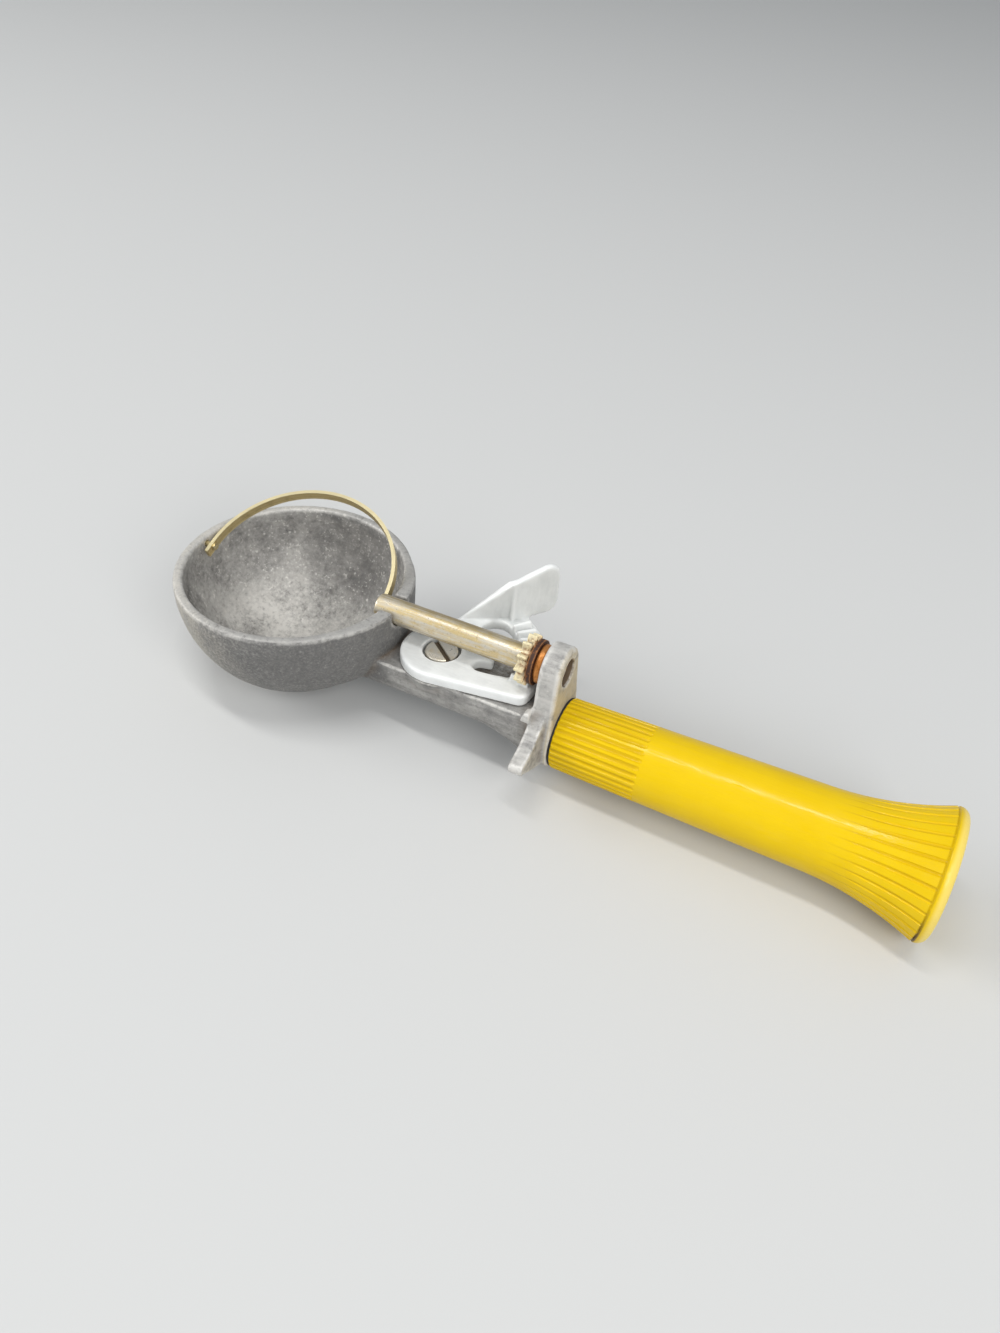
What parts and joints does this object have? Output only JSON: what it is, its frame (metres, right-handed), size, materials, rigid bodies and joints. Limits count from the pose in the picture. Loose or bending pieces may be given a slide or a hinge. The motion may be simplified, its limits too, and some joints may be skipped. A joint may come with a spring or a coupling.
{
  "type": "ice cream scoop",
  "caption": "Ice cream scoop: a round cast bowl with a scraper band that a thumb lever turns through a toothed sector and a pinion, on a grooved plastic handle.",
  "frame": {"origin": "centre of the bowl's sphere, on the axis of the scraper shaft", "axes": "+X along the shaft to the handle, +Z out of the bowl's mouth, +Y to the side of the thumb paddle"},
  "size_m": [0.2019, 0.0615, 0.0467],
  "materials": {
    "cast_aluminium": "dull mottled casting",
    "plated_shaft": "worn plating",
    "brass_band": "pale and worn",
    "brass_rivet": "worn",
    "brassy_gear": "pale with rust in the roots",
    "plain_steel": "plain",
    "rusted_steel": "dark rust",
    "copper_bush": "copper orange",
    "zinc_lever": "satin casting",
    "nickel_screw": "bright and worn",
    "spring_steel": "plain wire",
    "black_ring": "matt",
    "yellow_plastic": "half gloss",
    "yellow_cap": "half gloss"
  },
  "bodies": {
    "frame": {"frame_casting": "cast_aluminium", "lug_bush": "copper_bush", "thrust_washer": "plain_steel", "pivot_sleeve": "plain_steel", "pivot_screw": "nickel_screw", "return_spring": "spring_steel", "handle_ring": "black_ring", "handle_grip": "yellow_plastic", "tang_rod": "plain_steel", "tang_washer": "plain_steel", "tang_nut": "plain_steel", "butt_cap": "yellow_cap"},
    "lever": {"thumb_lever": "zinc_lever"},
    "scraper": {"scraper_shaft": "plated_shaft", "scraper_band": "brass_band", "front_pivot_rivet": "brass_rivet", "pinion": "brassy_gear", "pinion_cross_pin": "plain_steel", "steel_washer": "rusted_steel"}
  },
  "joints": [
    {"name": "thumb_press", "type": "hinge", "parent": "frame", "child": "lever", "pos_m": [0.0435, 0, -0.0083], "axis": [0, 0, -1], "range_deg": [0, 42], "stiffness_Nm_per_rad": 0.12, "springref_deg": -34.38, "deforming": ["return_spring"]},
    {"name": "scraper_turn", "type": "hinge", "parent": "frame", "child": "scraper", "pos_m": [0, 0, 0], "axis": [-1, 0, 0], "range_deg": [0, 171.82]}
  ],
  "couplings": [
    {"joint": "scraper_turn", "follows": "thumb_press", "ratio": 4.0909}
  ]
}
